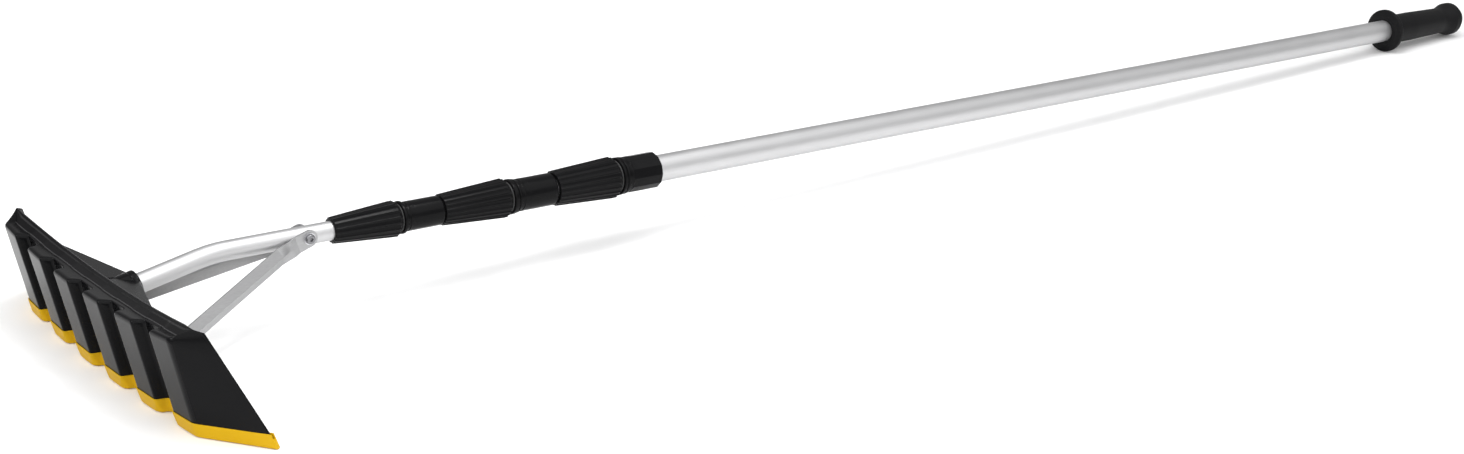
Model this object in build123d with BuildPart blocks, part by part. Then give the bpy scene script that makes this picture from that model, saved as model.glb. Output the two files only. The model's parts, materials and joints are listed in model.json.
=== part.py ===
"""Telescopic roof snow rake, lying on the ground as it rests when it isn't in use.

The blade end is at -X, the grip end at +X, +Z is up and y = 0 is the plane of symmetry.
The rake touches the ground with the scraper strip under the blade and with the round
guard of the grip. Four round tubes slide in each other, and three twist locks hold them.
Distances called s run along the pole from the blade's front towards the grip.
"""

import os
from collections import namedtuple
from math import asin, atan, cos, hypot, pi, sin

from build123d import *

os.makedirs("parts", exist_ok=True)

# ---------------------------------------------------------------- driving dimensions, mm
HEAD_X = -1106.0  # x of the blade's front, which puts the middle of the length at x = 0
POLE_HEIGHT = 104.1  # height of the pole's axis above the blade's front

# Pole: outer radius and bore of each tube, from the one in the grip to the one in the blade.
OUTER_R, OUTER_BORE = 16.0, 14.7
THIRD_R, THIRD_BORE = 14.2, 12.9
SECOND_R, SECOND_BORE = 12.45, 11.15
HEAD_R, HEAD_BORE = 10.65, 9.15
OUTER_END, THIRD_END, SECOND_END, HEAD_END = 2200.0, 2080.0, 1960.0, 1840.0

# Grip: the guard is the wide ring that rests on the ground.
GUARD_R, GUARD_FRONT, GUARD_BACK, GUARD_REST = 31.8, 2054.0, 2063.5, 2060.8
GRIP_R, GRIP_REAR_R, GRIP_BELL_R, GRIP_END = 21.5, 19.5, 24.7, 2229.5
GRIP_SOCKET_END = 2204.0  # the closed end of the hole that takes the outer tube

# Blade: the scoop of corrugated plastic. Heights are above the ground.
SEAM_Z = 14.8  # where the yellow strip's top edge meets the black wall
WALL = 3.0
LEAN = 0.206  # how far the wall leans forwards for each mm of height
REAR_LEAN, SIDE_LEAN = 0.383, 0.4624  # the same for the rear corner of an end panel
RIB_PITCH, RIB_WIDTH, RIB_COUNT = 74.4, 39.65, 3  # ribs on each half of the blade
GROOVE_DEPTH, GROOVE_DRAFT = 12.5, 3.0
RIB_LINE_HALF, BOW = 205.8, 8.7  # half width of the ribbed wall and how far it bows back
CORNER_X, CORNER_Y = 54.1, 271.2  # rear corner of an end panel at the seam
DECK_HALF = 215.0  # half width over which the deck's rise is stated
RIM_FORWARD = 4.6  # how far the deck's rear rim lies in front of the rear corners
LIP_WIDTH, LIP_HEIGHT = 4.0, 1.6  # raised lip along the deck's rear edge

STRIP_SCREW_Z, STRIP_SCREW_R, STRIP_SCREW_HEAD_R, STRIP_SCREW_LENGTH = 12.0, 1.3, 2.6, 4.6
GROOVES = range(-2, 3)  # in each of these rib pitches a screw holds the strip
BELOW, ABOVE = -1.0, 118.0  # heights just outside the wall's
SKY = 190.0  # height that is above everything on the blade

# Scraper strip under the blade.
STRIP_PROUD = 1.2
STRIP_SLOT_Z = 9.4
STRIP_FOOT_OVERHANG, STRIP_TOP_OVERHANG = 0.0, 3.5  # past the wall's end

# Socket behind the deck, its wings, and the bent tube in it. x is from the blade's front.
SOCKET_R, SOCKET_MOUTH_X, SOCKET_MOUTH_Z, SOCKET_FRONT_X = 15.8, 50.0, 84.5, 5.0
TUBE_TIP_X, BEND_X, BEND_RADIUS = 15.0, 132.0, 150.0
WING_ROOT, WING_FOOT, WING_MOUTH = (14.64, 2.0, 98.5), (12.9, 125.3, 103.5), (50.66, 2.0, 91.5)
SOCKET_SCREW_X, SCREW_R, SCREW_HEAD_R = 32.0, 2.3, 4.4

# Braces: creased strips from a bolt through the head tube down to bosses in the scoop.
BRACE_BOLT_S, BOLT_R, BOLT_HEAD_R, NUT_R = 238.0, 3.0, 5.4, 5.8
BRACE_T, BRACE_HALF, BRACE_CREASE = 1.8, 9.5, 5.0
FOOT_X, FOOT_Z, STRIP_END_Y, FOOT_SCREW_Y = 21.5, 29.5, 94.0, 105.0
BOSS_R, BOSS_DEPTH, FOOT_HOLE_DEPTH = 10.0, 21.0, 14.0
TAB_REACH = 15.0
WASHER_T, WASHER_R = 1.0, 6.6

GAP = 0.05  # between pieces that are fixed together
RUNNING = 0.08  # radial clearance of a bush or collet on the tube that slides in it
CLEAR = 0.35  # between pieces that turn on each other

# ---------------------------------------------------------------- the pole's line
# The pole drops towards the grip by the angle that lays the guard on the ground.
DROOP = asin(POLE_HEIGHT / hypot(GUARD_REST, GUARD_R)) - atan(GUARD_R / GUARD_REST)
POLE_DIR = Vector(cos(DROOP), 0, -sin(DROOP))
POLE_START = Vector(HEAD_X, 0, POLE_HEIGHT)
POLE_SIDE = Plane(POLE_START, x_dir=POLE_DIR, z_dir=(0, -1, 0))  # x is s, y is upwards
POLE_AXIS = Axis(POLE_START, POLE_DIR)

Lock = namedtuple(
    "Lock",
    "name start wide_at narrow_r wide_r end_r flutes ring_end ring_r sleeve_end sleeve_r slide_r fixed_r bore",
)
LOCKS = [
    Lock("front", 269, 344.6, 14.7, 20.4, 18.2, 18, 355.5, 18.4, 402, 16.6, HEAD_R, SECOND_R, SECOND_BORE),
    Lock("middle", 403, 484, 17.8, 22.5, 18.6, 24, 500.5, 19.9, 549, 18.65, SECOND_R, THIRD_R, THIRD_BORE),
    Lock("rear", 551, 631.5, 20.4, 24.4, 20.3, 24, 647.5, 22.2, 692.5, 21.6, THIRD_R, OUTER_R, OUTER_BORE),
]
END_BEVEL = 3.6  # length of the bevel at a collar's wide end
SPIGOT_FRONT, MOUTH, COLLET_FRONT = 32.0, 58.0, 8.0  # along each lock, from its narrow end
SPIGOT_WALL = 1.6
SEAL_R = 1.2
PIN_R, PIN_FROM_END = 1.5, 14.0
COLLET_SLIT, BUSH_WALL, FLUTE_SHARE = 34.0, 1.6, 0.82


def pole_plane(s):
    """Plane square to the pole at s, with its x along +Y and its y upwards."""
    return Plane(POLE_START + POLE_DIR * s, x_dir=(0, 1, 0), z_dir=POLE_DIR)


def save(piece, name):
    """Label a finished piece and write its STEP file."""
    piece.part.label = name
    export_step(piece.part, f"parts/{name}.step")


# ---------------------------------------------------------------- the blade's outlines
def bow(y):
    """How far back the ribbed wall has bowed at y."""
    return BOW * (y / RIB_LINE_HALF) ** 2


def wall_line(z):
    """Outer line of the wall at height z, from the -Y rear corner round the front to +Y."""
    rise = z - SEAM_Z
    half = []
    for rib in range(RIB_COUNT):
        middle = RIB_PITCH * (rib + 0.5)
        near, far = middle - RIB_WIDTH / 2, middle + RIB_WIDTH / 2
        half.append((bow(near) + GROOVE_DEPTH, near - GROOVE_DRAFT))
        half += [(bow(near), near), (bow(far), far)]
        if rib < RIB_COUNT - 1:
            half.append((bow(far) + GROOVE_DEPTH, far + GROOVE_DRAFT))
    half = [(x - LEAN * rise, y) for x, y in half]
    half.append((CORNER_X - REAR_LEAN * rise, CORNER_Y - SIDE_LEAN * rise))
    return [(x, -y) for x, y in reversed(half)] + half


def moved_in(line, distance):
    """The line moved towards the inside of the scoop, with mitred corners."""
    normals = []
    for (x0, y0), (x1, y1) in zip(line, line[1:]):
        length = hypot(x1 - x0, y1 - y0)
        normals.append(((y1 - y0) / length, (x0 - x1) / length))
    out = []
    for i, (x, y) in enumerate(line):
        nx0, ny0 = normals[max(i - 1, 0)]
        nx1, ny1 = normals[min(i, len(normals) - 1)]
        scale = distance / (1 + nx0 * nx1 + ny0 * ny1)
        out.append((x + (nx0 + nx1) * scale, y + (ny0 + ny1) * scale))
    return out


def inner_line(z):
    """Inner line of the wall at height z."""
    low, high = (moved_in(wall_line(end), WALL) for end in (BELOW, ABOVE))
    share = (z - BELOW) / (ABOVE - BELOW)
    return [(x0 + (x1 - x0) * share, y0 + (y1 - y0) * share) for (x0, y0), (x1, y1) in zip(low, high)]


def longer(line, extra):
    """The line with both ends run on by extra."""
    ends = []
    for (x0, y0), (x1, y1) in ((line[1], line[0]), (line[-2], line[-1])):
        step = extra / hypot(x1 - x0, y1 - y0)
        ends.append((x1 + (x1 - x0) * step, y1 + (y1 - y0) * step))
    return [ends[0]] + line[1:-1] + [ends[1]]


def level(z):
    """Horizontal plane at height z with its origin at the blade's front."""
    return Plane((HEAD_X, 0, z), x_dir=(1, 0, 0), z_dir=(0, 0, 1))


def band(z, margin, extra):
    """Closed outline round the wall at height z, with room on both faces and at the ends."""
    front = moved_in(longer(wall_line(z), extra), -margin)
    back = moved_in(longer(inner_line(z), extra), margin)
    return front + list(reversed(back))


def deck_profile(y, drop=0.0):
    """The deck's top at y as (x, z) points: ribs' top edge, crease, lip and rear edge."""
    k = (y / DECK_HALF) ** 2
    front = (-17.4 + 7.4 * k, 99.0 + 7.0 * k - drop)
    crease = (4.0 - 1.5 * k, 95.5 + 9.6 * k - drop)
    rear_x, rear_z = 16.5 - 5.6 * k, 98.7 + 15.0 * k - drop
    slope = (rear_z - crease[1]) / (rear_x - crease[0])
    foot = (rear_x - LIP_WIDTH, rear_z - LIP_WIDTH * slope)
    return front, crease, foot, (rear_x, rear_z)


STATIONS = (-285, -240, -205, -140, -70, 0, 70, 140, 205, 240, 285)  # y of the deck's profiles


def cross_plane(y):
    """Upright plane along the pole at y, with its origin under the blade's front."""
    return Plane((HEAD_X, y, 0), x_dir=(1, 0, 0), z_dir=(0, -1, 0))


with BuildPart() as above_deck:  # everything over the deck, with the lip left standing
    for station in STATIONS:
        front, crease, foot, rear = deck_profile(station)
        lip_z = rear[1] + LIP_HEIGHT
        with BuildSketch(cross_plane(station)):
            Polygon(
                (-80, front[1]),
                front,
                crease,
                foot,
                (foot[0] + 0.9, foot[1] + LIP_HEIGHT),
                (rear[0] + 0.5, lip_z),
                (90, lip_z + 20),
                (90, SKY),
                (-80, SKY),
                align=None,
            )
    loft(ruled=True)

with BuildPart() as above_ceiling:  # everything over the deck's underside
    for station in STATIONS:
        front, crease, foot, rear = deck_profile(station, drop=WALL)
        with BuildSketch(cross_plane(station)):
            Polygon((-80, front[1]), front, crease, rear, (90, rear[1]), (90, SKY), (-80, SKY), align=None)
    loft(ruled=True)

with BuildPart() as hollow:  # the scoop's inside, open at the bottom and at the back
    for height in (BELOW, ABOVE):
        with BuildSketch(level(height)):
            Polygon(*inner_line(height), (120, 240), (120, -240), align=None)
    loft(ruled=True)
    add(above_ceiling.part, mode=Mode.SUBTRACT)

# ---------------------------------------------------------------- places on the blade
bend = POLE_START + POLE_DIR * (BEND_X / cos(DROOP))
mouth_centre = Vector(HEAD_X + SOCKET_MOUTH_X, 0, SOCKET_MOUTH_Z)
socket_dir = (bend - mouth_centre).normalized()
wall_normal = Vector(1, 0, LEAN).normalized()


def strip_screw_plane(y):
    """Plane of a screw head on the strip's back, facing out of the scoop."""
    back_x = GROOVE_DEPTH + WALL + STRIP_PROUD + 4 * GAP + LEAN * (SEAM_Z - STRIP_SCREW_Z)
    slope = 2 * bow(y) / y if y else 0.0
    seat = (HEAD_X + bow(y) + back_x, y, STRIP_SCREW_Z)
    return Plane(seat, x_dir=(slope, 1, 0), z_dir=(1, -slope, LEAN))


def on_socket(x, z_dir):
    """Plane at x on the socket's axis."""
    centre = mouth_centre + socket_dir * ((x - SOCKET_MOUTH_X) / socket_dir.X)
    return Plane(centre, x_dir=(0, 1, 0), z_dir=z_dir)


def foot_plane(y):
    """Plane of a brace's foot on its boss at y, facing out of the scoop."""
    return Plane((HEAD_X + FOOT_X, y, FOOT_Z), x_dir=(0, 1, 0), z_dir=wall_normal)


socket_mouth = on_socket(SOCKET_MOUTH_X, -socket_dir)  # its y is downwards
socket_down = Vector(socket_dir.Z, 0, -socket_dir.X)
screw_plane = on_socket(SOCKET_SCREW_X, socket_down)
bolt_plane = Plane(
    POLE_START + POLE_DIR * BRACE_BOLT_S, x_dir=POLE_DIR, z_dir=(0, -1, 0)
)  # its z is towards -Y and its y upwards

# ---------------------------------------------------------------- blade
with BuildPart() as bosses:  # stand on the scoop's inner face and take the braces' feet
    for side in (-1, 1):
        with BuildSketch(foot_plane(side * FOOT_SCREW_Y)):
            Circle(BOSS_R)
        extrude(amount=-BOSS_DEPTH)
    add(hollow.part, mode=Mode.INTERSECT)

with BuildPart() as blade:
    for height in (STRIP_SLOT_Z, ABOVE):
        front_line, back_line = wall_line(height), inner_line(height)
        rim_x = CORNER_X - RIM_FORWARD - REAR_LEAN * (height - SEAM_Z)
        rim = [(rim_x, RIB_LINE_HALF), (rim_x, -RIB_LINE_HALF)]
        with BuildSketch(level(height)):
            Polygon(*front_line, back_line[-1], *rim, back_line[0], align=None)
    loft(ruled=True)
    add(above_deck.part, mode=Mode.SUBTRACT)
    add(hollow.part, mode=Mode.SUBTRACT)
    add(bosses.part)
    with BuildSketch(socket_mouth):  # round on top and square below
        Circle(SOCKET_R)
        with Locations((0, SOCKET_R / 2)):
            Rectangle(2 * SOCKET_R, SOCKET_R)
    extrude(amount=(SOCKET_MOUTH_X - SOCKET_FRONT_X) / socket_dir.X)
    for side in (-1, 1):  # the wings run from the mouth's sides out along the deck's rear edge
        root, foot, mouth = (
            Vector(HEAD_X + x, side * y, z) for x, y, z in (WING_ROOT, WING_FOOT, WING_MOUTH)
        )
        down = (mouth - root).cross(foot - root).normalized() * side
        wing = Plane(root, x_dir=foot - root, z_dir=down)
        corners = [wing.to_local_coords(corner) for corner in (root, foot, mouth)]
        with BuildSketch(wing):
            Polygon(*[(corner.X, corner.Y) for corner in corners], align=None)
        extrude(amount=WALL)
    with BuildSketch(socket_mouth.offset(-WALL)):
        Circle(HEAD_R + GAP)
    extrude(amount=(SOCKET_MOUTH_X - TUBE_TIP_X) / socket_dir.X + WALL + 1, mode=Mode.SUBTRACT)
    with BuildSketch(screw_plane):
        Circle(SCREW_R + GAP)
    extrude(amount=2 * SOCKET_R, mode=Mode.SUBTRACT)
    for side in (-1, 1):
        with BuildSketch(foot_plane(side * FOOT_SCREW_Y)):
            Circle(BOLT_R + GAP)
        extrude(amount=-FOOT_HOLE_DEPTH, mode=Mode.SUBTRACT)
    for groove in GROOVES:
        with BuildSketch(strip_screw_plane(groove * RIB_PITCH)):
            Circle(STRIP_SCREW_R + GAP)
        extrude(amount=-STRIP_SCREW_LENGTH - GAP, mode=Mode.SUBTRACT)
save(blade, "blade")

# ---------------------------------------------------------------- scraper strip
with BuildPart() as scraper_strip:  # grips the wall's lower edge in a slot
    for height, overhang in ((0.0, STRIP_FOOT_OVERHANG), (SEAM_Z, STRIP_TOP_OVERHANG)):
        with BuildSketch(level(height)):
            Polygon(*band(height, STRIP_PROUD, overhang), align=None)
    loft(ruled=True)
with BuildPart() as strip_slot:
    for height in (STRIP_SLOT_Z - GAP, SEAM_Z + 1):
        with BuildSketch(level(height)):
            Polygon(*band(height, GAP, 2 * GAP), align=None)
    loft(ruled=True)
with BuildPart() as scraper:
    add(scraper_strip.part)
    add(strip_slot.part, mode=Mode.SUBTRACT)
    for groove in GROOVES:
        with BuildSketch(strip_screw_plane(groove * RIB_PITCH)):
            Circle(STRIP_SCREW_R + GAP)
        extrude(amount=-STRIP_SCREW_LENGTH - GAP, mode=Mode.SUBTRACT)
save(scraper, "scraper_strip")

with BuildPart() as strip_screws:
    for groove in GROOVES:
        seat = strip_screw_plane(groove * RIB_PITCH)
        with BuildSketch(seat):
            Circle(STRIP_SCREW_R)
        extrude(amount=-STRIP_SCREW_LENGTH)
        with BuildSketch(seat):
            Circle(STRIP_SCREW_HEAD_R)
        extrude(amount=1.6)
        with BuildSketch(seat.offset(0.8)):
            Rectangle(3.0, 0.8)
            Rectangle(0.8, 3.0)
        extrude(amount=1, mode=Mode.SUBTRACT)
save(strip_screws, "strip_screws")

# ---------------------------------------------------------------- tubes
with BuildPart() as head_tube:  # bent down into the socket
    with BuildLine() as tube_line:
        FilletPolyline(
            on_socket(TUBE_TIP_X, socket_dir).origin,
            bend,
            POLE_START + POLE_DIR * HEAD_END,
            radius=BEND_RADIUS,
        )
    with BuildSketch(Plane(tube_line.line @ 0, x_dir=(0, 1, 0), z_dir=tube_line.line % 0)):
        Circle(HEAD_R)
        Circle(HEAD_BORE, mode=Mode.SUBTRACT)
    sweep()
    with BuildSketch(bolt_plane):
        Circle(BOLT_R + GAP)
    extrude(amount=2 * HEAD_R, both=True, mode=Mode.SUBTRACT)
    with BuildSketch(screw_plane):
        Circle(SCREW_R + GAP)
    extrude(amount=2 * HEAD_R, mode=Mode.SUBTRACT)
save(head_tube, "head_tube")

# name, lock at its mouth, outer radius, bore, far end
TUBES = [
    ("second_tube", LOCKS[0], SECOND_R, SECOND_BORE, SECOND_END),
    ("third_tube", LOCKS[1], THIRD_R, THIRD_BORE, THIRD_END),
    ("outer_tube", LOCKS[2], OUTER_R, OUTER_BORE, OUTER_END),
]


def pin_plane(lock):
    """Plane of the pin under a lock's sleeve, with z pointing down out of the pole."""
    centre = POLE_START + POLE_DIR * (lock.sleeve_end - PIN_FROM_END)
    return Plane(centre, x_dir=POLE_DIR, z_dir=-POLE_SIDE.y_dir)


for name, lock, radius, bore, far_end in TUBES:
    with BuildPart() as tube:
        mouth_s = lock.start + MOUTH
        with BuildSketch(pole_plane(mouth_s)):
            Circle(radius)
            Circle(bore, mode=Mode.SUBTRACT)
        extrude(amount=far_end - mouth_s)
        with BuildSketch(pin_plane(lock)):
            Circle(PIN_R + GAP)
        extrude(amount=2 * radius, mode=Mode.SUBTRACT)
    save(tube, name)

# name, bore of the tube it plugs, bore that it slides in, s of the tube's end
BUSHES = [
    ("head_guide_bush", HEAD_BORE, SECOND_BORE, HEAD_END),
    ("second_guide_bush", SECOND_BORE, THIRD_BORE, SECOND_END),
    ("third_guide_bush", THIRD_BORE, OUTER_BORE, THIRD_END),
]
for name, plugged, guided, end in BUSHES:
    with BuildPart() as bush:
        plug_r, head_r = plugged - GAP, guided - RUNNING
        with BuildSketch(POLE_SIDE):
            Polygon(
                (end - 14, plug_r - BUSH_WALL),
                (end + 20, plug_r - BUSH_WALL),
                (end + 20, head_r - 1),
                (end + 19, head_r),
                (end + 1, head_r),
                (end + GAP, head_r - 1),
                (end + GAP, plug_r),
                (end - 13, plug_r),
                (end - 14, plug_r - 0.5),
                align=None,
            )
        revolve(axis=POLE_AXIS)
    save(bush, name)

# ---------------------------------------------------------------- twist locks
for lock in LOCKS:
    spigot_s = lock.start + SPIGOT_FRONT
    collar_end = lock.wide_at + END_BEVEL
    ring_start = collar_end + 2 * CLEAR + 2 * SEAL_R
    bore_r = lock.fixed_r + GAP
    spigot_r = bore_r + SPIGOT_WALL

    with BuildPart() as collar:  # turns on the spigot and squeezes the collet
        for s, radius, depth in (
            (lock.start, lock.narrow_r, 0.6),
            (lock.wide_at, lock.wide_r, 0.9),
            (collar_end, lock.end_r, 0.3),
        ):
            width = FLUTE_SHARE * pi * radius / lock.flutes  # half a flute's width
            flute_r = (width**2 + depth**2) / (2 * depth)
            with BuildSketch(pole_plane(s)):
                Circle(radius)
                with PolarLocations(radius - depth + flute_r, lock.flutes):
                    Circle(flute_r, mode=Mode.SUBTRACT)
        loft(ruled=True)
        with BuildSketch(POLE_SIDE):
            Polygon(
                (lock.start - 1, 0),
                (lock.start - 1, lock.slide_r + 0.6),
                (lock.start + 4, lock.slide_r + 0.6),
                (lock.start + 4, bore_r + CLEAR),
                (spigot_s - CLEAR, bore_r + CLEAR),
                (spigot_s - CLEAR, spigot_r + CLEAR),
                (collar_end + 1, spigot_r + CLEAR),
                (collar_end + 1, 0),
                align=None,
            )
        revolve(axis=POLE_AXIS, mode=Mode.SUBTRACT)
    save(collar, f"lock_collar_{lock.name}")

    with BuildPart() as sleeve:  # fixed on the larger tube's mouth
        with BuildSketch(POLE_SIDE):
            Polygon(
                (spigot_s, bore_r),
                (spigot_s, spigot_r),
                (ring_start, spigot_r),
                (ring_start, lock.ring_r - 1.2),
                (ring_start + 2.0, lock.ring_r),
                (lock.ring_end - 2.0, lock.ring_r),
                (lock.ring_end, lock.ring_r - 1.2),
                (lock.ring_end, lock.sleeve_r - 0.8),
                (lock.ring_end + 3.5, lock.sleeve_r - 0.8),
                (lock.ring_end + 4.3, lock.sleeve_r),
                (lock.sleeve_end - 1.5, lock.sleeve_r),
                (lock.sleeve_end, lock.sleeve_r - 1.5),
                (lock.sleeve_end, bore_r),
                align=None,
            )
        revolve(axis=POLE_AXIS)
        if lock.name == "rear":  # this sleeve has flats along it
            with BuildSketch(pole_plane(lock.ring_end + 7.5)):
                Circle(lock.sleeve_r + 1)
                RegularPolygon(lock.sleeve_r, 12, mode=Mode.SUBTRACT)
            extrude(amount=lock.sleeve_end - lock.ring_end, mode=Mode.SUBTRACT)
        with BuildSketch(pin_plane(lock)):
            Circle(PIN_R + GAP)
        extrude(amount=2 * lock.sleeve_r, mode=Mode.SUBTRACT)
    save(sleeve, f"lock_sleeve_{lock.name}")

    with BuildPart() as collet:  # slotted ring round the tube that slides
        collet_s, base_end = lock.start + COLLET_FRONT, lock.start + MOUTH - 2
        inner_r, outer_r = lock.slide_r + RUNNING, bore_r - GAP
        with BuildSketch(POLE_SIDE):
            Polygon(
                (collet_s, inner_r),
                (collet_s, outer_r - 0.6),
                (collet_s + 6, outer_r),
                (base_end, outer_r),
                (base_end, inner_r),
                align=None,
            )
        revolve(axis=POLE_AXIS)
        for turn in (45, 135):
            with BuildSketch(pole_plane(collet_s)):
                Rectangle(4 * outer_r, 1.4, rotation=turn)
            extrude(amount=COLLET_SLIT, mode=Mode.SUBTRACT)
    save(collet, f"lock_collet_{lock.name}")

    with BuildPart() as seal:  # rubber ring between the collar and the sleeve's ridge
        with BuildSketch(POLE_SIDE):
            with Locations((collar_end + CLEAR + SEAL_R, spigot_r + GAP + SEAL_R)):
                Circle(SEAL_R)
        revolve(axis=POLE_AXIS)
    save(seal, f"lock_seal_{lock.name}")

    with BuildPart() as pin:  # holds the sleeve on the tube, from below
        with BuildSketch(pin_plane(lock).offset(lock.bore + 0.15)):
            Circle(PIN_R)
        extrude(amount=lock.sleeve_r - lock.bore - 0.9)
    save(pin, f"sleeve_pin_{lock.name}")

# ---------------------------------------------------------------- grip end
with BuildPart() as grip:  # one rubber piece: guard, barrel and belled end
    bore_r = OUTER_R + GAP
    with BuildSketch(POLE_SIDE):
        with BuildLine():
            outline = FilletPolyline(
                (GRIP_SOCKET_END, 0),
                (GRIP_SOCKET_END, bore_r),
                (GUARD_FRONT, bore_r),
                (GUARD_FRONT, 23.0),
                (GUARD_FRONT + 2.5, GUARD_R),
                (GUARD_BACK - 1.0, GUARD_R),
                (GUARD_BACK, GRIP_R - 0.3),
                (GUARD_BACK + 50, GRIP_R),
                (2190.0, GRIP_REAR_R),
                (2207.0, GRIP_BELL_R),
                (2217.0, GRIP_BELL_R),
                (GRIP_END, 17.0),
                (GRIP_END, 0),
                radius=[0, 0.5, 2, 1.8, 1.8, 5, 60, 40, 5, 5, 8],
            )
            Line(outline @ 1, outline @ 0)
        make_face()
    revolve(axis=POLE_AXIS)
save(grip, "grip")

with BuildPart() as plug:  # closes the outer tube inside the grip
    with BuildSketch(POLE_SIDE):
        Polygon(
            (OUTER_END - 22, 0),
            (OUTER_END - 22, OUTER_BORE - 1),
            (OUTER_END - 20, OUTER_BORE - GAP),
            (OUTER_END + GAP, OUTER_BORE - GAP),
            (OUTER_END + GAP, OUTER_R - 0.3),
            (OUTER_END + 3, OUTER_R - 0.3),
            (OUTER_END + 3, 0),
            align=None,
        )
    revolve(axis=POLE_AXIS)
save(plug, "tube_end_plug")

# ---------------------------------------------------------------- braces and fasteners
tab_inner = HEAD_R + 0.25  # the tabs lie along the head tube's sides
tab_outer = tab_inner + BRACE_T


def strip_profile(crease):
    """Strip's section: x across it, y out of its face; crease is how far its edges lie back."""
    t = BRACE_T / 2
    edge = t - crease
    return [
        (-BRACE_HALF, edge),
        (0, t),
        (BRACE_HALF, edge),
        (BRACE_HALF, edge - BRACE_T),
        (0, -t),
        (-BRACE_HALF, edge - BRACE_T),
    ]


for side, name in ((-1, "brace_right"), (1, "brace_left")):
    face = Plane(bolt_plane.origin, x_dir=POLE_DIR, z_dir=(0, side, 0))
    foot = foot_plane(side * STRIP_END_Y).offset(BRACE_T / 2).origin
    flat = foot - face.origin
    bend_at = face.origin + Vector(flat.X, 0, flat.Z).normalized() * TAB_REACH
    top = bend_at + face.z_dir * (tab_inner + BRACE_T / 2)
    along = (foot - top).normalized()
    length = (foot - top).length
    across = face.z_dir.cross(along).normalized()
    with BuildPart() as brace:
        for t, crease in (
            (-0.3, 0.05),
            (8, 0.05),
            (24, BRACE_CREASE),
            (length - 34, BRACE_CREASE),
            (length - 16, 0.05),
            (length, 0.05),
        ):
            with BuildSketch(Plane(top + along * t, x_dir=across, z_dir=along)):
                Polygon(*strip_profile(crease), align=None)
        loft(ruled=True)
        # rounded tab on the tube's side, reaching to where the strip starts
        reach = face.to_local_coords(bend_at)
        half = Vector(-reach.Y, reach.X, 0).normalized() * BRACE_HALF
        with BuildSketch(face.offset(tab_inner)):
            Circle(BRACE_HALF)
            Polygon(
                (half.X, half.Y),
                (reach.X + half.X, reach.Y + half.Y),
                (reach.X - half.X, reach.Y - half.Y),
                (-half.X, -half.Y),
                align=None,
            )
            Circle(BOLT_R + GAP, mode=Mode.SUBTRACT)
        extrude(amount=BRACE_T)
        # rounded foot on its boss
        with BuildSketch(foot_plane(side * FOOT_SCREW_Y)):
            Circle(BRACE_HALF)
            middle_y = side * (STRIP_END_Y - FOOT_SCREW_Y - 1) / 2
            with Locations((middle_y, 0)):
                Rectangle(2 * abs(middle_y), 2 * BRACE_HALF)
            Circle(BOLT_R + GAP, mode=Mode.SUBTRACT)
        extrude(amount=BRACE_T)
    save(brace, name)

head_seat = tab_outer + GAP + WASHER_T + GAP
with BuildPart() as washers:
    for side in (-1, 1):
        with BuildSketch(bolt_plane.offset(-side * (tab_outer + GAP + WASHER_T / 2))):
            Circle(WASHER_R)
            Circle(BOLT_R + GAP, mode=Mode.SUBTRACT)
        extrude(amount=WASHER_T / 2, both=True)
save(washers, "brace_washers")

with BuildPart() as bolt:  # button head on the -Y side, threaded end on the +Y side
    with BuildSketch(bolt_plane.offset(-head_seat - 7.5)):
        Circle(BOLT_R)
    extrude(amount=2 * head_seat + 7.5)
    with BuildSketch(bolt_plane.offset(head_seat)):
        Circle(BOLT_HEAD_R)
    extrude(amount=3.4)
    fillet(bolt.edges().filter_by(GeomType.CIRCLE).sort_by(Axis.Y)[0], 1.8)
    with BuildSketch(bolt_plane.offset(head_seat + 1.4)):
        RegularPolygon(2.3, 6)
    extrude(amount=3, mode=Mode.SUBTRACT)
save(bolt, "brace_bolt")

with BuildPart() as nut:
    with BuildSketch(bolt_plane.offset(-head_seat - 5.4)):
        RegularPolygon(NUT_R, 6)
        Circle(BOLT_R + GAP, mode=Mode.SUBTRACT)
    extrude(amount=5.4)
save(nut, "brace_nut")

with BuildPart() as foot_screws:
    for side in (-1, 1):
        seat = foot_plane(side * FOOT_SCREW_Y).offset(BRACE_T + GAP)
        with BuildSketch(seat):
            Circle(BOLT_R)
        extrude(amount=-BRACE_T - FOOT_HOLE_DEPTH + 1)
        with BuildSketch(seat):
            Circle(BOLT_HEAD_R)
        extrude(amount=3.2)
        with BuildSketch(seat.offset(1.6)):
            RegularPolygon(2.3, 6)
        extrude(amount=2, mode=Mode.SUBTRACT)
save(foot_screws, "brace_foot_screws")

with BuildPart() as socket_screw:  # from below, through the socket and the head tube's wall
    with BuildSketch(screw_plane.offset(HEAD_BORE - 3)):
        Circle(SCREW_R)
    extrude(amount=SOCKET_R + GAP - HEAD_BORE + 3)
    with BuildSketch(screw_plane.offset(SOCKET_R + GAP)):
        Circle(SCREW_HEAD_R)
    extrude(amount=2.8)
    with BuildSketch(screw_plane.offset(SOCKET_R + GAP + 1.4)):
        Rectangle(5, 1.1)
        Rectangle(1.1, 5)
    extrude(amount=2, mode=Mode.SUBTRACT)
save(socket_screw, "socket_screw")
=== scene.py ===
import json
import math

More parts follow.
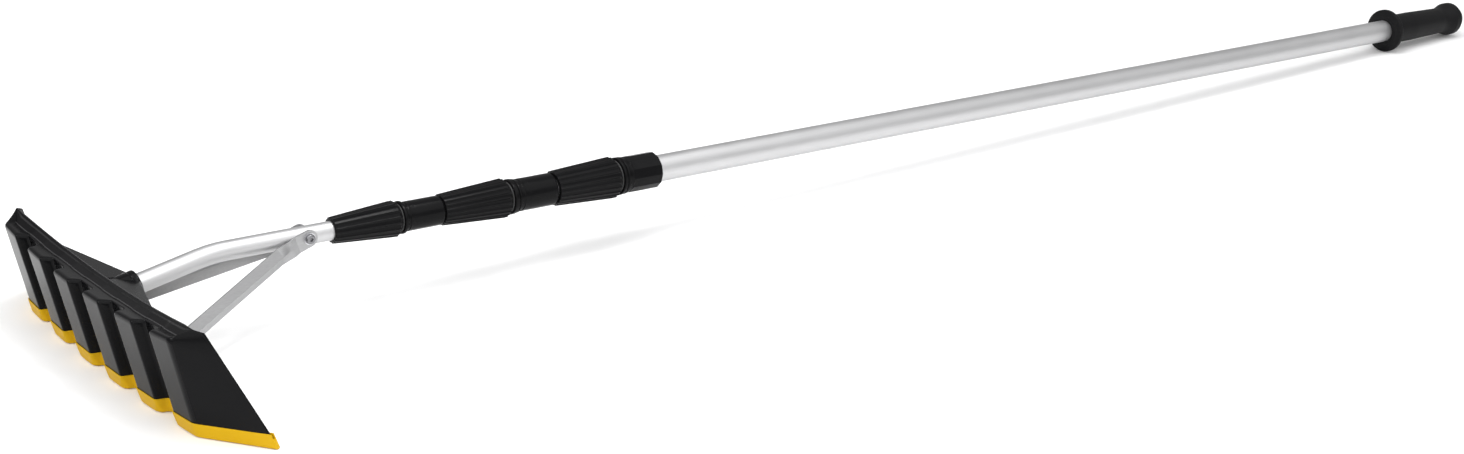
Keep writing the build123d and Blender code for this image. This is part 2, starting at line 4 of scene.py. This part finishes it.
import bmesh
import bpy
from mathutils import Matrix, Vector


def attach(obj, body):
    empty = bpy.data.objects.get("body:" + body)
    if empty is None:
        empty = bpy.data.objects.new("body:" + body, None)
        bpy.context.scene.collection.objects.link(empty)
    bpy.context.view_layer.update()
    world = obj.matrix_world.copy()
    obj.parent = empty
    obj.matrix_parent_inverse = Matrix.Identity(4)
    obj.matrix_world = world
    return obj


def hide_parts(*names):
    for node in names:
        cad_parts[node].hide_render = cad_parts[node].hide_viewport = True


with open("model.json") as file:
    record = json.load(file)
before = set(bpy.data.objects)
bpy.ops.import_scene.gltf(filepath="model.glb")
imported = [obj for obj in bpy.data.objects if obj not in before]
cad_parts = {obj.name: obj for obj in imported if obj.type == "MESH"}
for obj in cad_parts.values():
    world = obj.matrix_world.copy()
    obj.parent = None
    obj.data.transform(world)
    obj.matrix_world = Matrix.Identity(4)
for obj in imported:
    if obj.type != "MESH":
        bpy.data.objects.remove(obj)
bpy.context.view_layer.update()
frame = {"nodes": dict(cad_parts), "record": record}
nodes = frame["nodes"]
scene = bpy.context.scene
scene.view_settings.view_transform = "Standard"

# ---------------------------------------------------------------- camera
camera_data = bpy.data.cameras.new("camera")
camera_data.sensor_width = 36.0
camera_data.lens = 56.77
camera_data.clip_end = 50.0
camera = bpy.data.objects.new("camera", camera_data)
camera.location = (-1.9066, -2.1055, 0.9188)
camera.rotation_euler = (math.radians(90 - 19.45), 0.0, math.radians(-37.39))
scene.collection.objects.link(camera)
scene.camera = camera


# ---------------------------------------------------------------- materials
def material(name):
    mat = bpy.data.materials.new(name)
    mat.use_nodes = True
    tree = mat.node_tree
    return mat, tree.nodes, tree.links, tree.nodes["Principled BSDF"]


def noise(tree_nodes, links, coords, scale, detail=3.0, stretch=None):
    node = tree_nodes.new("ShaderNodeTexNoise")
    node.inputs["Scale"].default_value = scale
    node.inputs["Detail"].default_value = detail
    if stretch:
        mapping = tree_nodes.new("ShaderNodeMapping")
        mapping.inputs["Scale"].default_value = stretch
        links.new(coords, mapping.inputs["Vector"])
        coords = mapping.outputs["Vector"]
    links.new(coords, node.inputs["Vector"])
    return node.outputs["Fac"]


def ramp(tree_nodes, links, value, low, high):
    node = tree_nodes.new("ShaderNodeMapRange")
    node.inputs["To Min"].default_value = low
    node.inputs["To Max"].default_value = high
    links.new(value, node.inputs["Value"])
    return node.outputs["Result"]


def mix(tree_nodes, links, value, a, b):
    node = tree_nodes.new("ShaderNodeMix")
    node.data_type = "RGBA"
    node.inputs["A"].default_value = (*a, 1)
    node.inputs["B"].default_value = (*b, 1)
    links.new(value, node.inputs["Factor"])
    return node.outputs["Result"]


def bump(tree_nodes, links, shader, value, distance, strength=1.0):
    node = tree_nodes.new("ShaderNodeBump")
    node.inputs["Distance"].default_value = distance
    node.inputs["Strength"].default_value = strength
    links.new(value, node.inputs["Height"])
    links.new(node.outputs["Normal"], shader.inputs["Normal"])


def moulded(name, dark, light, rough, grain=900.0, depth=0.00004, scratches=0.08):
    """Moulded plastic or rubber: fine grain, a slow change of shade, and handling marks."""
    mat, n, links, shader = material(name)
    coords = n.new("ShaderNodeTexCoord").outputs["Object"]
    slow = noise(n, links, coords, 14.0)
    links.new(mix(n, links, slow, dark, light), shader.inputs["Base Color"])
    marks = noise(n, links, coords, 60.0, 6.0)
    links.new(ramp(n, links, marks, rough - scratches, rough + scratches), shader.inputs["Roughness"])
    bump(n, links, shader, noise(n, links, coords, grain, 2.0), depth, 0.6)
    return mat, shader


def metal(name, dark, light, rough, stretch, depth=0.00002):
    """Drawn or rolled metal with fine lines along it."""
    mat, n, links, shader = material(name)
    coords = n.new("ShaderNodeTexCoord").outputs["Object"]
    lines = noise(n, links, coords, 1.0, 4.0, stretch)
    links.new(mix(n, links, lines, dark, light), shader.inputs["Base Color"])
    cloud = noise(n, links, coords, 25.0, 4.0)
    links.new(ramp(n, links, cloud, rough - 0.06, rough + 0.08), shader.inputs["Roughness"])
    shader.inputs["Metallic"].default_value = 1.0
    bump(n, links, shader, lines, depth, 0.5)
    return mat, shader


black_plastic, shader = moulded(
    "black_plastic", (0.0025, 0.0025, 0.003), (0.005, 0.005, 0.0055), 0.19, depth=0.00002, scratches=0.04
)
shader.inputs["IOR"].default_value = 1.19
# Painted highlight: a lighter, glossier black for the thin beads along the deck's crease and rim. The beads
# stand for the light lines those edges catch and are not parts of their own.
painted_highlight_plastic, _ = moulded(
    "painted_highlight_plastic", (0.012, 0.012, 0.013), (0.022, 0.022, 0.023), 0.16, depth=0.00001, scratches=0.04
)
yellow_plastic, shader = moulded("yellow_plastic", (0.55, 0.32, 0.002), (0.60, 0.36, 0.004), 0.5)
shader.inputs["IOR"].default_value = 1.22
lock_plastic, shader = moulded(
    "lock_plastic", (0.003, 0.003, 0.0034), (0.006, 0.006, 0.0064), 0.20, 1400.0, 0.00002
)
shader.inputs["IOR"].default_value = 1.17
bush_plastic, _ = moulded("bush_plastic", (0.50, 0.50, 0.48), (0.58, 0.58, 0.56), 0.45)
seal_rubber, _ = moulded("seal_rubber", (0.012, 0.012, 0.012), (0.02, 0.02, 0.02), 0.6)
grip_rubber, shader = moulded("grip_rubber", (0.005, 0.005, 0.0055), (0.009, 0.009, 0.0095), 0.46, 1600.0)
shader.inputs["IOR"].default_value = 1.18
tube_metal, _ = metal("tube_metal", (0.52, 0.52, 0.526), (0.59, 0.59, 0.596), 0.48, (8.0, 1500.0, 1500.0))
brace_metal, _ = metal("brace_metal", (0.33, 0.33, 0.335), (0.41, 0.41, 0.415), 0.44, (60.0, 900.0, 900.0))
zinc_steel, _ = metal("zinc_steel", (0.50, 0.50, 0.52), (0.62, 0.62, 0.64), 0.32, (400.0, 400.0, 400.0))
dark_steel, _ = metal("dark_steel", (0.18, 0.18, 0.19), (0.26, 0.26, 0.27), 0.35, (400.0, 400.0, 400.0))

MATERIALS = {
    "blade_plastic": black_plastic,
    "scraper_plastic": yellow_plastic,
    "tube_aluminium": tube_metal,
    "brace_aluminium": brace_metal,
    "lock_plastic": lock_plastic,
    "bush_plastic": bush_plastic,
    "seal_rubber": seal_rubber,
    "grip_rubber": grip_rubber,
    "fastener_steel": zinc_steel,
    "black_steel": dark_steel,
}
for part in frame["record"]["subparts"]:
    node = nodes[part["node"]]
    node.data.materials.clear()
    node.data.materials.append(MATERIALS[part["material_slot"]])

# ---------------------------------------------------------------- building helpers
# Points are in mm with x counted from the blade's front, as in the part's source.
HEAD_X = -1106.0


def finish(name, verts, faces, mat, node_names, body, bevel=0.0, segments=2, angle=40):
    """Turn points and faces into a piece with smooth faces and sharp or bevelled edges."""
    bm = bmesh.new()
    points = [bm.verts.new(((x + HEAD_X) / 1000, y / 1000, z / 1000)) for x, y, z in verts]
    for face in faces:
        corners = []
        for index in face:
            if points[index] not in corners:
                corners.append(points[index])
        bm.faces.new(corners)
    bmesh.ops.remove_doubles(bm, verts=bm.verts, dist=2e-6)
    bmesh.ops.dissolve_degenerate(bm, edges=bm.edges, dist=2e-6)
    bmesh.ops.recalc_face_normals(bm, faces=bm.faces)
    for face in bm.faces:
        face.smooth = True
    for edge in bm.edges:
        edge.smooth = not edge.is_manifold or edge.calc_face_angle() < math.radians(angle)
    mesh = bpy.data.meshes.new(name)
    bm.to_mesh(mesh)
    bm.free()
    mesh.materials.append(mat)
    piece = bpy.data.objects.new(name, mesh)
    scene.collection.objects.link(piece)
    soften(piece, bevel, segments, angle)
    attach(piece, body)
    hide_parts(*node_names)
    return piece


def soften(piece, width, segments=2, angle=40):
    """Bevel a piece's sharp edges by width in mm and keep its flat faces flat."""
    if width:
        mod = piece.modifiers.new("bevel", "BEVEL")
        mod.width = width / 1000
        mod.segments = segments
        mod.limit_method = "ANGLE"
        mod.angle_limit = math.radians(angle)
        mod.miter_outer = "MITER_ARC"
    mod = piece.modifiers.new("normals", "WEIGHTED_NORMAL")
    mod.keep_sharp = True


def lerp(a, b, t):
    return tuple(p + (q - p) * t for p, q in zip(a, b))


def rounded_row(row, cuts, steps=4):
    """The polyline with each inner corner replaced by a short curve."""
    out = [row[0]]
    for before, corner, after, cut in zip(row, row[1:], row[2:], cuts):
        start = lerp(corner, before, min(0.45, cut / math.dist(corner, before)))
        end = lerp(corner, after, min(0.45, cut / math.dist(corner, after)))
        for step in range(steps + 1):
            t = step / steps
            out.append(lerp(lerp(start, corner, t), lerp(corner, end, t), t))
    out.append(row[-1])
    return out


def grid(rows, closed=True):
    """Vertices and quads that join the rows; closed joins the last row to the first."""
    width = len(rows[0])
    verts = [point for row in rows for point in row]
    faces = []
    for r in range(len(rows) if closed else len(rows) - 1):
        below, above = r * width, (r + 1) % len(rows) * width
        for c in range(width - 1):
            faces.append((below + c, below + c + 1, above + c + 1, above + c))
    return verts, faces


# ---------------------------------------------------------------- the blade's outlines
SEAM_Z, WALL = 14.8, 3.0
LEAN, REAR_LEAN, SIDE_LEAN = 0.206, 0.383, 0.4624
RIB_PITCH, RIB_WIDTH = 74.4, 39.65
RIB_LINE_HALF, BOW = 205.8, 8.7
SLOT_Z = 9.4
MIDDLE_Z = 40.0  # a row part of the way up the wall
GROOVE_DEPTH, GROOVE_DRAFT = 12.5, 3.0
RIM_HALF = 219.0  # how far from the middle the rear rim ends


def bow(y):
    return BOW * (y / RIB_LINE_HALF) ** 2


def wall_line(z):
    """Outer line of the wall at height z, as in the part's source."""
    rise = z - SEAM_Z
    half = []
    for rib in range(3):
        middle = RIB_PITCH * (rib + 0.5)
        near, far = middle - RIB_WIDTH / 2, middle + RIB_WIDTH / 2
        half.append((bow(near) + GROOVE_DEPTH, near - GROOVE_DRAFT))
        half += [(bow(near), near), (bow(far), far)]
        if rib < 2:
            half.append((bow(far) + GROOVE_DEPTH, far + GROOVE_DRAFT))
    half = [(x - LEAN * rise, y) for x, y in half]
    half.append((54.1 - REAR_LEAN * rise, 271.2 - SIDE_LEAN * rise))
    return [(x, -y) for x, y in reversed(half)] + half


def moved_in(line, distance):
    """The line moved into the scoop, with mitred corners."""
    normals = []
    for (x0, y0), (x1, y1) in zip(line, line[1:]):
        length = math.hypot(x1 - x0, y1 - y0)
        normals.append(((y1 - y0) / length, (x0 - x1) / length))
    out = []
    for i, (x, y) in enumerate(line):
        nx0, ny0 = normals[max(i - 1, 0)]
        nx1, ny1 = normals[min(i, len(normals) - 1)]
        scale = distance / (1 + nx0 * nx1 + ny0 * ny1)
        out.append((x + (nx0 + nx1) * scale, y + (ny0 + ny1) * scale))
    return out


def longer(line, extra):
    ends = []
    for (x0, y0), (x1, y1) in ((line[1], line[0]), (line[-2], line[-1])):
        step = extra / math.hypot(x1 - x0, y1 - y0)
        ends.append((x1 + (x1 - x0) * step, y1 + (y1 - y0) * step))
    return [ends[0]] + line[1:-1] + [ends[1]]


def deck_curve(y):
    """Crease and rear edge of the deck at y, and its front, as (x, z) points."""
    k = (y / 215) ** 2
    return (-17.4 + 7.4 * k, 99 + 8.5 * k), (4 - 1.5 * k, 95.5 + 9.6 * k), (16.5 - 5.6 * k, 98.7 + 15 * k)


def deck_height(x, y):
    (front_x, front_z), (crease_x, crease_z), (rear_x, rear_z) = deck_curve(y)
    if x < crease_x:
        share = (x - front_x) / (crease_x - front_x)
        return front_z + (crease_z - front_z) * max(share, 0)
    share = (x - crease_x) / (rear_x - crease_x)
    return crease_z + (rear_z - crease_z) * min(share, 0.8)


def wall_point(index, z):
    x, y = wall_line(z)[index]
    return (x, y, z)


# ---------------------------------------------------------------- blade
count = len(wall_line(0))
is_end = [index in (0, count - 1) for index in range(count)]
in_groove = []
for index, (x, y) in enumerate(wall_line(SEAM_Z)):
    in_groove.append(x - bow(y) > 8 and not is_end[index])
edge = []  # where the wall would meet the deck in a sharp edge
for index in range(count):
    z = 100.0
    for _ in range(6):
        x, y, _ = wall_point(index, z)
        z = deck_height(x, y)
    edge.append((x, y, z))
round_r = [25.0 if end else 9.0 if groove else 6.5 for end, groove in zip(is_end, in_groove)]
mitre = moved_in([(x, y) for x, y, _ in edge], 1.0)
rear = []
deck_in = []
for (x, y, z), (mx, my), r, groove, end in zip(edge, mitre, round_r, in_groove, is_end):
    if end:
        _, _, (rear_x, rear_z) = deck_curve(217)
        rim = (rear_x, math.copysign(RIM_HALF, y), rear_z + 0.3)
        deck_in.append(rim)
        rear.append(rim)
    else:
        reach = 2.5 if groove else r
        px, py = x + (mx - x) * reach, y + (my - y) * reach
        deck_in.append((px, py, deck_height(px, py)))
        _, _, (rear_x, rear_z) = deck_curve(py)
        rear.append((rear_x, py, rear_z))
crease = []
for (x, y, z), groove, end in zip(deck_in, in_groove, is_end):
    _, (crease_x, crease_z), _ = deck_curve(y)
    line_x = max(crease_x + (0.5 if groove else -0.3), x + 1.0)
    crease.append((x, y, z) if end else (line_x, y, crease_z + 0.2))


def between(low, high, share, lift=0.0):
    """The row part of the way from low to high, raised by lift except at the two ends."""
    row = []
    for p, q, end in zip(low, high, is_end):
        x, y, z = lerp(p, q, share)
        row.append(p if end else (x, y, z + lift))
    return row


below_edge = [wall_point(i, edge[i][2] - round_r[i]) for i in range(count)]
outer_rows = []
for height in (SLOT_Z, MIDDLE_Z):
    outer_rows.append([wall_point(i, height) for i in range(count)])
for step in range(8):
    t = step / 7
    outer_rows.append(
        [lerp(lerp(a, e, t), lerp(e, c, t), t) for a, e, c in zip(below_edge, edge, deck_in)]
    )
outer_rows += [
    [(x - 0.9 * (not end), y, z - 0.2 * (not end)) for (x, y, z), end in zip(crease, is_end)],
    [(x - 0.4 * (not end), y, z + 0.5 * (not end)) for (x, y, z), end in zip(crease, is_end)],
    [(x + 0.4 * (not end), y, z + 0.5 * (not end)) for (x, y, z), end in zip(crease, is_end)],
    [(x + 0.9 * (not end), y, z + 0.1 * (not end)) for (x, y, z), end in zip(crease, is_end)],
    between(crease, rear, 0.60),
    between(crease, rear, 0.64, 0.1),
    between(crease, rear, 0.70, 1.3),
    between(crease, rear, 0.74, 1.5),
    between(crease, rear, 0.97, 1.5),
    between(crease, rear, 1.0, 1.1),
]
inner_rows = [
    [(x, y, z - 2.0) for x, y, z in rear],
    [(x, y, z - WALL) for x, y, z in between(crease, rear, 0.9)],
    [(x, y, z - WALL) for x, y, z in crease],
]
for heights in ([z - WALL for _, _, z in edge], [MIDDLE_Z] * count, [SLOT_Z] * count):
    inner_rows.append([(*moved_in(wall_line(z), WALL)[i], z) for i, z in enumerate(heights)])
cuts = [5.0 if i in (1, count - 2) else 3.4 for i in range(1, count - 1)]
rows = [rounded_row(row, cuts) for row in outer_rows + inner_rows]
verts, faces = grid(rows)
width = len(rows[0])
outer_count = len(outer_rows)
for column in (0, width - 1):
    ids = [r * width + column for r in range(len(rows))]
    faces.append((ids[0], ids[1], ids[-2], ids[-1]))
    faces.append((ids[1], ids[2], ids[-3], ids[-2]))
    for r in range(2, outer_count):
        faces.append((ids[r], ids[r + 1], ids[-3]))
    faces.append((ids[outer_count], ids[outer_count + 1], ids[-3]))
finish("blade_shell", verts, faces, black_plastic, ["blade"], "head")


def painted_highlight_bead(name, row, radius):
    """A thin half-round bead that stands on the deck along a row of points, in a lighter, glossier plastic:
    a painted highlight line for the light that the deck's edge catches.
    """
    loop = []
    for step in range(6):
        angle = math.pi * step / 5
        loop.append([(x - radius * math.cos(angle), y, z + radius * math.sin(angle)) for x, y, z in row])
    loop.append([(x, y, z - 0.4) for x, y, z in row])
    verts, faces = grid(loop)
    width = len(row)
    for column in (0, width - 1):
        faces.append([r * width + column for r in range(len(loop))])
    finish(name, verts, faces, painted_highlight_plastic, ["blade"], "head")


# The two beads below are painted highlights along the deck's crease and rear rim.
crease_row = rounded_row([(x, y, z + 0.45) for x, y, z in crease[1:-1]], [6.0] * (count - 4))
painted_highlight_bead("blade_crease_highlight_bead", crease_row, 0.55)
rim_row = rounded_row([(x - 0.7, y, z + 1.5) for x, y, z in rear[1:-1]], [8.0] * (count - 4))
painted_highlight_bead("blade_rim_highlight_bead", rim_row, 0.5)

# ---------------------------------------------------------------- socket, wings and bosses
DROOP = math.asin(104.1 / math.hypot(2060.8, 31.8)) - math.atan(31.8 / 2060.8)
POLE = Vector((math.cos(DROOP), 0, -math.sin(DROOP)))
START = Vector((0, 0, 104.1))
BEND = START + POLE * (132 / math.cos(DROOP))
MOUTH = Vector((50, 0, 84.5))
SOCKET = (BEND - MOUTH).normalized()
ACROSS = Vector((0, 1, 0))


def tube_rows(origin, axis, side, profile, turns, shape=None):
    """Rows round an axis. profile holds (distance, radius), and shape may change a radius."""
    axis, side = axis.normalized(), side.normalized()
    up = axis.cross(side)
    rows = []
    for distance, radius in profile:
        row = []
        for turn in range(turns + 1):
            angle = 2 * math.pi * (turn % turns) / turns
            r = shape(angle, radius, distance) if shape else radius
            spoke = side * r * math.cos(angle) + up * r * math.sin(angle)
            row.append(tuple(origin + axis * distance + spoke))
        rows.append(row)
    return rows


def arch(angle, radius, distance):
    """Round above and nearly square below; the bore (small radius) stays round."""
    if radius < 12 or math.sin(angle) >= 0:
        return radius
    c, s = abs(math.cos(angle)), abs(math.sin(angle))
    return radius / (c**6 + s**6) ** (1 / 6)


side_y = ACROSS if SOCKET.cross(ACROSS).z > 0 else -ACROSS
front_x = -45 / SOCKET.x
profile = [(front_x, 10.7), (front_x, 15.8), (-8.4, 15.8), (-7.6, 15.1), (-6.6, 15.1)]
profile += [(-5.8, 15.8), (-2.4, 15.8), (-1.3, 15.6), (-0.5, 14.9), (0, 13.9), (0, 11.4), (-0.7, 10.7)]
verts, faces = grid(tube_rows(MOUTH, SOCKET, side_y, profile, 72, arch))
finish("blade_socket", verts, faces, black_plastic, ["blade"], "head", 0.3)

WING = ((14.64, 2, 98.5), (12.9, 125.3, 103.5), (50.66, 2, 91.5))  # its root, foot and mouth
for side, name in ((-1, "near"), (1, "far")):
    root, foot, mouth = (Vector((x, side * y, z)) for x, y, z in WING)
    down = (mouth - root).cross(foot - root).normalized() * side * WALL
    if down.z > 0:
        down = -down
    verts = [tuple(point) for point in (root, foot, mouth)]
    verts += [tuple(point + down) for point in (root, foot, mouth)]
    faces = [(0, 1, 2), (3, 5, 4), (0, 3, 4, 1), (1, 4, 5, 2), (2, 5, 3, 0)]
    finish(f"blade_wing_{name}", verts, faces, black_plastic, ["blade"], "head", 0.7, 3)

FOOT = Vector((1, 0, LEAN)).normalized()
for side, name in ((-1, "near"), (1, "far")):
    centre = Vector((21.5, side * 105, 29.5))
    profile = [(-18, 12.5), (-14, 11.2), (-8, 10.4), (-0.8, 10.0), (0, 9.2)]
    profile += [(0, 3.1), (-13, 3.1), (-13, 0.05)]
    verts, faces = grid(tube_rows(centre, FOOT, ACROSS, profile, 48), closed=False)
    finish(f"blade_boss_{name}", verts, faces, black_plastic, ["blade"], "head")

# ---------------------------------------------------------------- scraper strip


def strip_row(z, margin, extra, inner=False):
    line = longer(wall_line(z), extra)
    line = moved_in(line, WALL + margin if inner else -margin)
    return [(x, y, z) for x, y in line]


strip_rows = [
    (strip_row(0.0, 0.2, 0.0), 11.0),
    (strip_row(0.9, 1.2, 0.3), 10.0),
    (strip_row(7.0, 1.2, 1.9), 6.0),
    (strip_row(13.9, 1.2, 3.4), 3.4),
    (strip_row(14.8, 0.8, 3.5), 3.4),
    (strip_row(14.8, 0.05, 3.5), 3.4),
    (strip_row(9.3, 0.05, 2.0), 3.4),
    (strip_row(9.3, 0.05, 2.0, True), 3.4),
    (strip_row(14.8, 0.05, 3.5, True), 3.4),
    (strip_row(14.8, 1.2, 3.5, True), 3.4),
    (strip_row(0.9, 1.2, 0.3, True), 6.0),
    (strip_row(0.0, 0.6, 0.0, True), 7.0),
]
rows = []
for row, cut in strip_rows:
    cuts = [cut if 1 < i < count - 2 else min(cut, 5.0) for i in range(1, count - 1)]
    rows.append(rounded_row(row, cuts))
verts, faces = grid(rows)
width = len(rows[0])
for column in (0, width - 1):
    ids = [r * width + column for r in range(len(rows))]
    faces.append((ids[0], ids[1], ids[2], ids[6], ids[7], ids[10], ids[11]))
    faces.append((ids[2], ids[3], ids[4], ids[5], ids[6]))
    faces.append((ids[7], ids[8], ids[9], ids[10]))
finish("scraper_body", verts, faces, yellow_plastic, ["scraper_strip"], "head", 0.25)

# ---------------------------------------------------------------- twist locks
# name, body of the sleeve, start, wide_at, narrow_r, wide_r, end_r, flutes,
# rings as (start, end, radius), sleeve_end, sleeve_r, slide_r, fixed_r
LOCKS = [
    ("front", "second_section", 269, 344.6, 14.7, 20.4, 18.2, 18,
     [(351.3, 355.5, 18.4)], 402, 16.6, 10.65, 12.45),
    ("middle", "third_section", 403, 484, 17.8, 22.5, 18.6, 24,
     [(490.7, 496.6, 20.2), (497.3, 500.5, 19.4)], 549, 18.65, 12.45, 14.2),
    ("rear", "handle", 551, 631.5, 20.4, 24.4, 20.3, 24,
     [(638.2, 642.6, 22.2), (643.2, 647.5, 21.9)], 692.5, 21.6, 14.2, 16.0),
]
CLEAR = 0.35  # between a collar and the sleeve it turns on
RING_ROUNDING = [(0, 1.3), (0.25, 0.6), (0.8, 0.15), (1.5, 0)]  # (distance in, drop) at a ring's edge


def fluted(flutes, stops, bore):
    """Shape with hollows between narrow ridges. A stop is (distance, depth, smallest radius cut)."""

    def shape(angle, radius, distance):
        if distance < stops[0][0] - 0.01 or radius < stops[0][2]:
            return radius
        if distance > stops[1][0] and radius < bore + 0.1:
            return radius  # the bore that turns on the sleeve stays round
        depth = stops[-1][1]
        for (d0, depth0, _), (d1, depth1, _) in zip(stops, stops[1:]):
            if d0 - 0.01 <= distance <= d1 + 0.01:
                depth = depth0 + (depth1 - depth0) * (distance - d0) / (d1 - d0)
                break
        phase = (angle * flutes / (2 * math.pi)) % 1.0 * 2 - 1
        return radius - depth * (1 - abs(phase) ** 4.0)

    return shape


for lock in LOCKS:
    name, body, start, wide_at, narrow_r, wide_r, end_r, flutes = lock[:8]
    rings, sleeve_end, sleeve_r, slide_r, fixed_r = lock[8:]
    bore_r, spigot_r = fixed_r + 0.05, fixed_r + 1.65
    spigot_s, collar_end = start + 32, wide_at + 3.6
    profile = [(start, slide_r + 0.6), (start, narrow_r - 1.5)]
    profile += [(start + 0.5, narrow_r - 0.35), (start + 1.2, narrow_r)]
    for t in (0.25, 0.5, 0.75, 1.0):
        profile.append((start + (wide_at - start) * t, narrow_r + (wide_r - narrow_r) * t))
    profile += [(wide_at + 0.7, wide_r - 0.25), (wide_at + 1.5, wide_r - 1.1)]
    profile += [(collar_end - 0.3, end_r + 0.2), (collar_end, end_r - 0.3)]
    profile += [(collar_end, spigot_r + CLEAR), (spigot_s - CLEAR, spigot_r + CLEAR)]
    profile += [(spigot_s - CLEAR, bore_r + CLEAR), (start + 4, bore_r + CLEAR), (start + 4, slide_r + 0.6)]
    stops = [(start, 0.9, narrow_r - 1.6), (start + 1.2, 0.8, 0), (wide_at, 1.35, 0)]
    stops += [(wide_at + 1.5, 1.2, 0), (collar_end, 0.5, 0)]
    rows = tube_rows(START, POLE, ACROSS, profile, flutes * 10, fluted(flutes, stops, spigot_r + CLEAR))
    verts, faces = grid(rows)
    finish(
        f"collar_{name}", verts, faces, lock_plastic, [f"lock_collar_{name}"], f"{name}_collar",
        angle=30,
    )

    ring_start = rings[0][0]
    profile = [(spigot_s, bore_r), (spigot_s, spigot_r), (ring_start, spigot_r)]
    for low, high, radius in rings:
        profile += [(low + along, radius - drop) for along, drop in RING_ROUNDING]
        profile += [(high - along, radius - drop) for along, drop in reversed(RING_ROUNDING)]
    end = rings[-1][1]
    profile += [(end, sleeve_r - 0.8), (end + 3.3, sleeve_r - 0.8)]
    profile += [(end + 3.6, sleeve_r - 0.5), (end + 4.2, sleeve_r)]
    knurl = [end + 5.0 + 0.5 * step for step in range(15)]
    profile += [(distance, sleeve_r) for distance in knurl]
    profile += [(sleeve_end - 2.2, sleeve_r), (sleeve_end - 1.2, sleeve_r - 0.25)]
    profile += [(sleeve_end - 0.4, sleeve_r - 0.9), (sleeve_end, sleeve_r - 1.7), (sleeve_end, bore_r)]

    def sleeve_shape(angle, radius, distance):
        if radius < sleeve_r - 2 or distance < end + 4:
            return radius
        if name == "rear":
            sector = math.pi / 6
            offset = angle % sector - sector / 2
            facet = radius * math.cos(sector / 2) / math.cos(offset)
            radius = facet + (radius - facet) * 0.1
        if knurl[0] < distance < knurl[-1]:
            turn = angle * 34
            radius -= 0.22 * abs(math.sin(turn + distance * 1.6) * math.sin(turn - distance * 1.6))
        return radius

    verts, faces = grid(tube_rows(START, POLE, ACROSS, profile, 240, sleeve_shape))
    finish(
        f"sleeve_{name}", verts, faces, lock_plastic, [f"lock_sleeve_{name}"], body,
        angle=22,
    )

# ---------------------------------------------------------------- floor and light
floor_mat, n, links, shader = material("floor_paint")
coords = n.new("ShaderNodeTexCoord").outputs["Object"]
cloud = noise(n, links, coords, 3.0)
links.new(mix(n, links, cloud, (0.93, 0.93, 0.93), (0.95, 0.95, 0.95)), shader.inputs["Base Color"])
shader.inputs["Roughness"].default_value = 0.9
FLOOR_HALF, FLOOR_Z = 30, -0.0005
corners = []
for x, y in ((-1, -1), (1, -1), (1, 1), (-1, 1)):
    corners.append((x * FLOOR_HALF, y * FLOOR_HALF, FLOOR_Z))
floor_mesh = bpy.data.meshes.new("floor")
floor_mesh.from_pydata(corners, [], [(0, 1, 2, 3)])
floor_mesh.materials.append(floor_mat)
floor = bpy.data.objects.new("floor", floor_mesh)
scene.collection.objects.link(floor)

world = bpy.data.worlds.new("studio")
world.use_nodes = True
world.node_tree.nodes["Background"].inputs["Color"].default_value = (1, 1, 1, 1)
world.node_tree.nodes["Background"].inputs["Strength"].default_value = 0.42
scene.world = world


def area_light(name, location, target, size, power):
    data = bpy.data.lights.new(name, "AREA")
    data.shape = "RECTANGLE"
    data.size, data.size_y = size
    data.energy = power
    light = bpy.data.objects.new(name, data)
    light.location = location
    light.rotation_euler = (Vector(target) - Vector(location)).to_track_quat("-Z", "Y").to_euler()
    scene.collection.objects.link(light)


sun_data = bpy.data.lights.new("sun", "SUN")
sun_data.energy = 2.75
sun_data.angle = math.radians(110)
sun = bpy.data.objects.new("sun", sun_data)
sun.rotation_euler = Vector((0.25, 0.45, -0.86)).to_track_quat("-Z", "Y").to_euler()
scene.collection.objects.link(sun)
area_light("back_left", (-3.4, 2.6, 0.6), (-1.1, 0.1, 0.05), (2.0, 0.9), 5)
area_light("overhead", (-0.2, -0.25, 2.3), (-1.0, -0.15, 0.1), (0.6, 0.3), 9)
area_light("left_high", (-2.38, 0.24, 1.84), (-1.1, -0.2, 0.1), (0.6, 0.25), 8)
area_light("front_high", (-0.7, -1.3, 1.6), (-1.05, 0, 0.1), (0.5, 0.15), 2.5)
area_light("lock_glint", (-0.35, -0.35, 1.5), (-0.65, 0, 0.1), (0.9, 0.12), 6)
